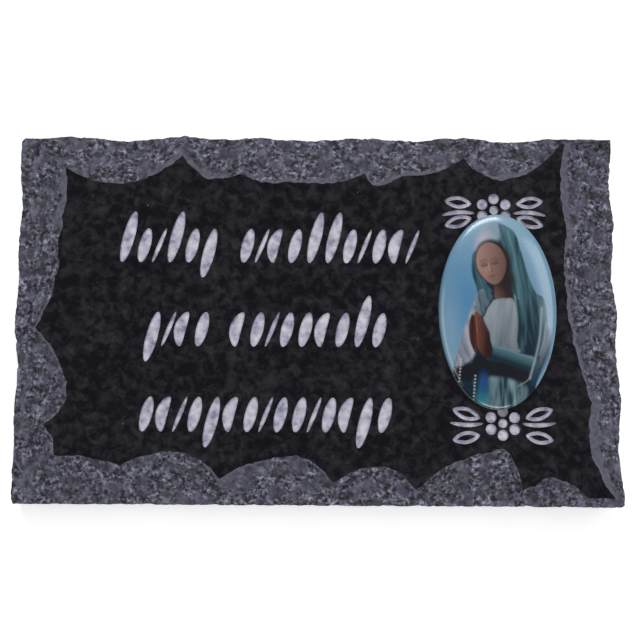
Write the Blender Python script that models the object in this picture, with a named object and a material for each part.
"""A grave plaque that lies flat: a granite slab with a chipped border round its polished face,
three rows of engraved strokes, two engraved sprays, and an oval porcelain medallion.

X runs along the rows, Y towards their heads and Z out of the polished face. All sizes are metres.
"""
import math
from collections import namedtuple

import bmesh
import bpy
from mathutils import Vector, noise

# Slab
LENGTH = 0.253
WIDTH = 0.155
THICKNESS = 0.020

# Chipped border round the polished face
CHIP_REACH = 0.021
LEAST_BORDER = 0.0040
RIM_DROP = 0.0072
LEAST_DROP_SHARE = 0.30
ARRIS_RUN = 0.0014
ARRIS_DROP = 0.0012
ARRIS_MOST_SHARE = 0.30
SCOOP_POWER = 1.5
SCOOP_SHARES = (0.36, 0.70)
LUMP_SIZE = 0.011
LUMP_HEIGHT = 0.0012
CORNER_FAN = 0.25
CORNER_PASSES = 30

# Each side's chips: centre, reach, run before the centre and run after it. Centres and runs are shares
# of the side's length, counted along +X or +Y from its middle. Reaches are shares of CHIP_REACH.
FOOT_CHIPS = (
    (-0.402, 0.94, 0.26, 0.20),
    (-0.226, 1.04, 0.17, 0.10),
    (-0.036, 0.95, 0.175, 0.087),
    (0.108, 0.75, 0.13, 0.070),
    (0.302, 1.09, 0.170, 0.037),
    (0.345, 0.40, 0.05, 0.09),
    (0.379, 0.57, 0.05, 0.068),
)
RIGHT_CHIPS = (
    (-0.305, 0.72, 0.21, 0.26),
    (0.131, 1.14, 0.545, 0.445),
    (0.358, 1.19, 0.385, 0.41),
)
HEAD_CHIPS = (
    (-0.330, 1.05, 0.16, 0.142),
    (-0.173, 0.94, 0.073, 0.175),
    (-0.074, 1.02, 0.118, 0.32),
    (0.009, 1.02, 0.207, 0.158),
    (0.098, 1.05, 0.045, 0.10),
    (0.150, 0.87, 0.10, 0.14),
    (0.304, 0.925, 0.092, 0.112),
)
LEFT_CHIPS = (
    (-0.368, 0.95, 0.50, 0.165),
    (-0.211, 1.15, 0.133, 0.235),
    (0.147, 0.905, 0.27, 0.31),
    (0.344, 1.03, 0.40, 0.50),
)

# Split outline: the crests where it meets the slab's box, as shares of the side, and the hollows
# between them, as shares of the stretch from crest to crest. The foot is sawn straight. A side's lean
# is how much further in it lies at its head or right end than at its other end.
FOOT_CRESTS = ()
RIGHT_CRESTS = (-0.505, -0.206, 0.006, 0.265, 0.470)
HEAD_CRESTS = (-0.554, -0.415, -0.213, -0.096, 0.055, 0.090, 0.236, 0.407, 0.554)
LEFT_CRESTS = (-0.430, -0.260, -0.010, 0.190, 0.420)
FOOT_HOLLOW = 0.0
RIGHT_HOLLOW = 0.034
HEAD_HOLLOW = 0.031
LEFT_HOLLOW = 0.026
RIGHT_LEAN = 0.0016
LEFT_LEAN = -0.0013
CORNER_LOSS = 0.0009
CORNER_RUN = 0.0026

# Split sides under the border
RIM_INSET = 0.0001
BELLY_HEIGHT_SHARE = 0.55
BASE_INSET = 0.0006
LONG_SIDE_STEPS = 84
SHORT_SIDE_STEPS = 52

# Oval medallion, bonded to the polished face
MEDALLION_WIDTH = 0.0482
MEDALLION_HEIGHT = 0.0807
MEDALLION_FROM_RIGHT = 0.0524
MEDALLION_RISE = 0.0022
MEDALLION_EDGE = 0.0022
MEDALLION_DOME = 0.0030
DOME_POWER = 2.6
BOND_LINE = 0.0003
BACK_CHAMFER = 0.0005
MEDALLION_STEPS = 56
DOME_RINGS = (1.0, 0.985, 0.94, 0.84, 0.66, 0.40)

# Engraving
ENGRAVED_DEPTH = 0.0008
ENGRAVED_DRAFT = 0.00020
LEAST_HALF_WIDTH = 0.00012
TIP_DRAFT = 2.5
CUTTER_RISE = 0.0015

# Rows of strokes that form no letters
ROWS_FROM_LEFT = 0.0434
ROWS_TO_MEDALLION = 0.0083
HEAD_TO_BASELINE = 0.0553
FOOT_TO_BASELINE = 0.0298
SHORT_STROKE_SHARE = 0.405
TALL_STROKE_SHARE = 0.61
DEEP_STROKE_SHARE = 0.18
HEAVY_FILL = 0.64
HAIR_FILL = 0.40
HAIR_ROOM = 0.60
WORD_GAP = 1.0
SLANT = 0.25
HAIR_SLANT = 0.40
CRESCENT = 0.10
STROKE_BLUNTNESS = 0.45
STROKE_SEGMENTS = 6
# t is tall, s short, d deep, c a short crescent, h a hairline, and a blank parts two groups
ROWS = ("tshtsd shcsttshsch", "dhcs cshsscsts", "schsdcshsshscds")

# Sprays above and below the medallion, set out from its ends. Rises are away from the medallion, and
# a leaf or a stem has its root's and its tip's.
HEAD_SPRAY_GAP = 0.0006
HEAD_SPRAY_SHIFT = -0.0007
HEAD_FLOWER_RISE = 0.0018
HEAD_FAR_LEAF = (0.0044, 0.0057)
HEAD_NEAR_LEAF = (-0.0015, -0.0049)
HEAD_STEM = (0.0004, -0.0005)
HEAD_STEM_BOW = 0.0009
FOOT_SPRAY_GAP = 0.0060
FOOT_SPRAY_SHIFT = 0.0019
FOOT_FLOWER_RISE = -0.0005
FOOT_FAR_LEAF = (0.0043, 0.0063)
FOOT_NEAR_LEAF = (-0.0026, -0.0062)
FOOT_STEM = (-0.0005, -0.0008)
FOOT_STEM_BOW = 0.0008
FLOWER_RADIUS = 0.0048
FLOWER_STRETCH = 1.16
PETALS = 6
PETAL_RADIUS = 0.0022
DOT_RADIUS = 0.00185
PETAL_SIDES = 8
LEAF_ROOT = 0.0093
LEAF_LENGTH = 0.0112
LEAF_HALF_WIDTH = 0.0026
LEAF_RIM = 0.0015
LEAF_BLUNTNESS = 0.65
LEAF_EYE_BLUNTNESS = 1.0
LEAF_SEGMENTS = 8
STEM_ROOT = 0.0080
STEM_LENGTH = 0.0135
STEM_WIDTH = 0.0018

# Finishes
GRANITE_COLOUR = (0.045, 0.045, 0.055)
GRANITE_ROUGHNESS = 0.35
PORCELAIN_COLOUR = (0.30, 0.48, 0.55)
PORCELAIN_ROUGHNESS = 0.08
SHARP_ANGLE = 50


# A side runs along axis 0 (X) or 1 (Y) at its edge of the slab's box
Side = namedtuple("Side", "chips crests hollow lean length edge axis steps")
Spray = namedtuple("Spray", "centre outward flower_rise far_leaf near_leaf stem stem_bow")


def sides():
    """The four sides, counterclockwise from the foot."""
    return (
        Side(FOOT_CHIPS, FOOT_CRESTS, FOOT_HOLLOW, 0.0, LENGTH, -WIDTH / 2, 0, LONG_SIDE_STEPS),
        Side(RIGHT_CHIPS, RIGHT_CRESTS, RIGHT_HOLLOW, RIGHT_LEAN, WIDTH, LENGTH / 2, 1, SHORT_SIDE_STEPS),
        Side(HEAD_CHIPS, HEAD_CRESTS, HEAD_HOLLOW, 0.0, LENGTH, WIDTH / 2, 0, LONG_SIDE_STEPS),
        Side(LEFT_CHIPS, LEFT_CRESTS, LEFT_HOLLOW, LEFT_LEAN, WIDTH, -LENGTH / 2, 1, SHORT_SIDE_STEPS),
    )


def drawn_in(edge, depth):
    return edge - math.copysign(depth, edge)


def side_point(side, along, depth):
    """The point at this place along a side and this far in from it."""
    across = drawn_in(side.edge, depth)
    return Vector((along, across)) if side.axis == 0 else Vector((across, along))


def chip_depth(side, along):
    """How far the chips reach in from a side at this place along it."""
    depth = LEAST_BORDER
    for centre, reach, before, after in side.chips:
        offset = along / side.length - centre
        run = before if offset < 0 else after
        depth = max(depth, CHIP_REACH * reach * (1 - (offset / run) ** 2))
    return depth


def outline_inset(side, along):
    """How far the split outline lies inside the slab's box at this place along a side."""
    share = along / side.length
    inset = side.lean * share + abs(side.lean) / 2
    for start, end in zip(side.crests, side.crests[1:]):
        if start < share < end:
            turn = math.pi * (share - start) / (end - start)
            inset += side.hollow * (end - start) * side.length * math.sin(turn) ** 2
    from_corner = side.length / 2 - abs(along)
    return inset + CORNER_LOSS * max(0.0, 1 - from_corner / CORNER_RUN) ** 2


def field_corner(side, next_side):
    """The place along the first side where its chips meet those of the next."""
    along, next_along = next_side.edge, side.edge
    for _ in range(CORNER_PASSES):
        along = drawn_in(next_side.edge, chip_depth(next_side, next_along))
        next_along = drawn_in(side.edge, chip_depth(side, along))
    return along


def outer_corner(side, next_side):
    """The place along the first side where the split outlines of both meet."""
    return drawn_in(next_side.edge, outline_inset(next_side, side.edge))


def border_columns():
    """One column for each place round the border: its field point, rim point and rim drop."""
    columns = []
    ring = sides()
    for before, side, after in zip((ring[-1], *ring[:-1]), ring, (*ring[1:], ring[0])):
        start, end = field_corner(side, before), field_corner(side, after)
        for step in range(side.steps):
            share = step / side.steps
            along = start + (end - start) * share
            outer = along + (outer_corner(side, before) - start) * max(0.0, 1 - share / CORNER_FAN) ** 2
            outer += (outer_corner(side, after) - end) * max(0.0, 1 - (1 - share) / CORNER_FAN) ** 2
            depth = chip_depth(side, along)
            drop = RIM_DROP * (LEAST_DROP_SHARE + (1 - LEAST_DROP_SHARE) * depth / CHIP_REACH)
            rim = side_point(side, outer, outline_inset(side, outer))
            columns.append((side_point(side, along, depth), rim, drop))
    return columns


def lump(point):
    """Uneven height left by the chisel, from about -1 to 1 times the lump height."""
    place = Vector((point.x, point.y, 0.0)) / LUMP_SIZE
    return LUMP_HEIGHT * noise.noise(place)


def border_rings():
    """The slab's closed outlines, from the polished face down to its sawn back."""
    field, arris, rim, belly, base = [], [], [], [], []
    scoops = [[] for _ in SCOOP_SHARES]
    for point, outer, drop in border_columns():
        field.append((point.x, point.y, THICKNESS))
        across = outer - point
        inward = -across.normalized()
        lip = outer + inward * RIM_INSET
        arris_share = min(ARRIS_MOST_SHARE, ARRIS_RUN / across.length)
        spot = point.lerp(lip, arris_share)
        arris.append((spot.x, spot.y, THICKNESS - ARRIS_DROP * arris_share / ARRIS_MOST_SHARE))
        for ring, share in zip(scoops, SCOOP_SHARES):
            spot = point.lerp(lip, share)
            fall = drop * (1 - (1 - share) ** SCOOP_POWER)
            ring.append((spot.x, spot.y, THICKNESS - fall + lump(spot)))
        rim_height = THICKNESS - drop + lump(lip)
        rim.append((lip.x, lip.y, rim_height))
        belly.append((outer.x, outer.y, rim_height * BELLY_HEIGHT_SHARE))
        foot = outer + inward * BASE_INSET
        base.append((foot.x, foot.y, 0.0))
    return [field, arris, *scoops, rim, belly, base]


def solid_from_rings(rings, name, wrap=False):
    """A closed solid through rings of equally many points, capped at both ends or joined end to end."""
    build = bmesh.new()
    loops = [[build.verts.new(point) for point in ring] for ring in rings]
    pairs = list(zip(loops, loops[1:])) + ([(loops[-1], loops[0])] if wrap else [])
    for upper, lower in pairs:
        for i in range(len(upper)):
            j = (i + 1) % len(upper)
            build.faces.new((upper[i], lower[i], lower[j], upper[j]))
    if not wrap:
        build.faces.new(loops[0])
        build.faces.new(reversed(loops[-1]))
    bmesh.ops.recalc_face_normals(build, faces=build.faces)
    mesh = bpy.data.meshes.new(name)
    build.to_mesh(mesh)
    build.free()
    return mesh


def lifted(outline, height):
    return [(x, y, height) for x, y in outline]


def groove(outline_at):
    """A cutter whose outline, given by how far it is drawn in, tapers down into the stone."""
    top = THICKNESS + CUTTER_RISE
    floor = THICKNESS - ENGRAVED_DEPTH
    rings = [
        lifted(outline_at(0.0), top),
        lifted(outline_at(0.0), THICKNESS),
        lifted(outline_at(ENGRAVED_DRAFT), floor),
    ]
    return solid_from_rings(rings, "groove")


def ring_groove(outer_at, inner_at):
    """A tapered cutter with an island in it."""
    top = THICKNESS + CUTTER_RISE
    floor = THICKNESS - ENGRAVED_DEPTH
    rings = [
        lifted(outer_at(0.0), top),
        lifted(outer_at(0.0), THICKNESS),
        lifted(outer_at(ENGRAVED_DRAFT), floor),
        lifted(inner_at(-ENGRAVED_DRAFT), floor),
        lifted(inner_at(0.0), THICKNESS),
        lifted(inner_at(0.0), top),
    ]
    return solid_from_rings(rings, "groove", wrap=True)


def brush_outline(start, end, bow, half_width, bluntness, segments):
    """A function that gives the outline of a stroke pointed at both ends, drawn in by a draft."""
    start, end = Vector(start), Vector(end)
    along = (end - start).normalized()
    aside = Vector((-along.y, along.x))

    def outline(draft):
        left, right = [], []
        for step in range(1, segments):
            share = step / segments
            centre = start.lerp(end, share) + aside * bow * 4 * share * (1 - share)
            half = max(LEAST_HALF_WIDTH, half_width * math.sin(math.pi * share) ** bluntness - draft)
            left.append(centre + aside * half)
            right.append(centre - aside * half)
        tail = start + along * draft * TIP_DRAFT
        head = end - along * draft * TIP_DRAFT
        return [tail, *right, head, *reversed(left)]

    return outline


def medallion_centre():
    return Vector((LENGTH / 2 - MEDALLION_FROM_RIGHT, MEDALLION_RISE))


def row_strokes():
    """The start, end, bow and half width of every stroke in the rows."""
    first_baseline = WIDTH / 2 - HEAD_TO_BASELINE
    last_baseline = -WIDTH / 2 + FOOT_TO_BASELINE
    pitch = (first_baseline - last_baseline) / (len(ROWS) - 1)
    short, tall, deep = pitch * SHORT_STROKE_SHARE, pitch * TALL_STROKE_SHARE, -pitch * DEEP_STROKE_SHARE
    reaches = {"t": (0.0, tall), "s": (0.0, short), "c": (0.0, short), "h": (0.0, short), "d": (deep, short)}
    rooms = {"h": HAIR_ROOM, " ": WORD_GAP}
    left = -LENGTH / 2 + ROWS_FROM_LEFT
    right = medallion_centre().x - MEDALLION_WIDTH / 2 - ROWS_TO_MEDALLION
    row_rooms = [sum(rooms.get(kind, 1.0) for kind in row) for row in ROWS]
    unit = (right - left) / max(row_rooms)
    strokes = []
    for number, (row, row_room) in enumerate(zip(ROWS, row_rooms)):
        baseline = first_baseline - number * pitch
        x = (left + right) / 2 - unit * row_room / 2
        for kind in row:
            room = unit * rooms.get(kind, 1.0)
            if kind != " ":
                low, high = reaches[kind]
                slant = HAIR_SLANT if kind == "h" else SLANT
                fill = HAIR_FILL if kind == "h" else HEAVY_FILL
                middle = x + room / 2
                start = (middle + slant * (low - short / 2), baseline + low)
                end = (middle + slant * (high - short / 2), baseline + high)
                bow = CRESCENT * short if kind == "c" else 0.0
                strokes.append((start, end, bow, room * fill / 2))
            x += room
    return strokes


def row_cutters():
    return [
        groove(brush_outline(start, end, bow, half_width, STROKE_BLUNTNESS, STROKE_SEGMENTS))
        for start, end, bow, half_width in row_strokes()
    ]


def spray_cutters(spray):
    """Petals round a dot, and on each side of them two open leaves with a stem between."""

    def place(x, rise):
        return (spray.centre[0] + x, spray.centre[1] + spray.outward * rise)

    def petal(middle, full_radius):
        def outline(draft):
            radius = full_radius - draft
            turns = [2 * math.pi * side / PETAL_SIDES for side in range(PETAL_SIDES)]
            return [(middle[0] + radius * math.cos(t), middle[1] + radius * math.sin(t)) for t in turns]

        return outline

    cutters = [groove(petal(place(0.0, spray.flower_rise), DOT_RADIUS))]
    for number in range(PETALS):
        turn = math.pi / 2 + 2 * math.pi * number / PETALS
        across = FLOWER_RADIUS * FLOWER_STRETCH * math.cos(turn)
        middle = place(across, spray.flower_rise + FLOWER_RADIUS * math.sin(turn))
        cutters.append(groove(petal(middle, PETAL_RADIUS)))
    for side in (-1, 1):
        for root_rise, tip_rise in (spray.far_leaf, spray.near_leaf):
            root = Vector(place(side * LEAF_ROOT, root_rise))
            tip = Vector(place(side * (LEAF_ROOT + LEAF_LENGTH), tip_rise))
            along = (tip - root).normalized() * LEAF_RIM * TIP_DRAFT / 2
            eye = LEAF_HALF_WIDTH - LEAF_RIM
            outer = brush_outline(root, tip, 0.0, LEAF_HALF_WIDTH, LEAF_BLUNTNESS, LEAF_SEGMENTS)
            inner = brush_outline(root + along, tip - along, 0.0, eye, LEAF_EYE_BLUNTNESS, LEAF_SEGMENTS)
            cutters.append(ring_groove(outer, inner))
        root = place(side * STEM_ROOT, spray.stem[0])
        tip = place(side * (STEM_ROOT + STEM_LENGTH), spray.stem[1])
        bow = side * spray.outward * spray.stem_bow
        stem = brush_outline(root, tip, bow, STEM_WIDTH / 2, STROKE_BLUNTNESS, STROKE_SEGMENTS)
        cutters.append(groove(stem))
    return cutters


def both_sprays():
    middle = medallion_centre()
    head = (middle.x + HEAD_SPRAY_SHIFT, middle.y + MEDALLION_HEIGHT / 2 + HEAD_SPRAY_GAP)
    foot = (middle.x + FOOT_SPRAY_SHIFT, middle.y - MEDALLION_HEIGHT / 2 - FOOT_SPRAY_GAP)
    sprays = (
        Spray(head, 1, HEAD_FLOWER_RISE, HEAD_FAR_LEAF, HEAD_NEAR_LEAF, HEAD_STEM, HEAD_STEM_BOW),
        Spray(foot, -1, FOOT_FLOWER_RISE, FOOT_FAR_LEAF, FOOT_NEAR_LEAF, FOOT_STEM, FOOT_STEM_BOW),
    )
    return [cutter for spray in sprays for cutter in spray_cutters(spray)]


def material(name, colour, roughness):
    made = bpy.data.materials.new(name)
    made.use_nodes = True
    shader = made.node_tree.nodes["Principled BSDF"]
    shader.inputs["Base Color"].default_value = (*colour, 1.0)
    shader.inputs["Roughness"].default_value = roughness
    shader.inputs["Metallic"].default_value = 0.0
    return made


def add_object(mesh, name, finish):
    added = bpy.data.objects.new(name, mesh)
    bpy.context.scene.collection.objects.link(added)
    if finish:
        added.data.materials.append(finish)
    return added


def engraving_cutter():
    """All grooves as one mesh, which stays out of the model."""
    build = bmesh.new()
    for mesh in row_cutters() + both_sprays():
        build.from_mesh(mesh)
        bpy.data.meshes.remove(mesh)
    mesh = bpy.data.meshes.new("engraving_cutter")
    build.to_mesh(mesh)
    build.free()
    cutter = add_object(mesh, "engraving_cutter", None)
    cutter.hide_render = True
    cutter.display_type = "WIRE"
    return cutter


def stone():
    finish = material("granite", GRANITE_COLOUR, GRANITE_ROUGHNESS)
    slab = add_object(solid_from_rings(border_rings(), "stone"), "stone", finish)
    engraving = slab.modifiers.new("engraving", "BOOLEAN")
    engraving.operation = "DIFFERENCE"
    engraving.solver = "EXACT"
    engraving.object = engraving_cutter()
    return slab


def oval(share, height, inset=0.0):
    """The medallion's outline at a share of its size, as points at one height."""
    half_width = MEDALLION_WIDTH / 2 * share - inset
    half_height = MEDALLION_HEIGHT / 2 * share - inset
    turns = [2 * math.pi * step / MEDALLION_STEPS for step in range(MEDALLION_STEPS)]
    return [(half_width * math.cos(turn), half_height * math.sin(turn), height) for turn in turns]


def medallion():
    rings = [
        oval(share, MEDALLION_EDGE + MEDALLION_DOME * (1 - share**DOME_POWER) ** (1 / DOME_POWER))
        for share in reversed(DOME_RINGS)
    ]
    rings.append(oval(1.0, BACK_CHAMFER))
    rings.append(oval(1.0, 0.0, BACK_CHAMFER))
    finish = material("porcelain", PORCELAIN_COLOUR, PORCELAIN_ROUGHNESS)
    oval_plate = add_object(solid_from_rings(rings, "medallion"), "medallion", finish)
    oval_plate.location = (*medallion_centre(), THICKNESS + BOND_LINE)
    oval_plate.data.shade_smooth()
    oval_plate.data.set_sharp_from_angle(angle=math.radians(SHARP_ANGLE))
    return oval_plate


def clear_scene():
    for old in list(bpy.data.objects):
        bpy.data.objects.remove(old)


clear_scene()
stone()
medallion()
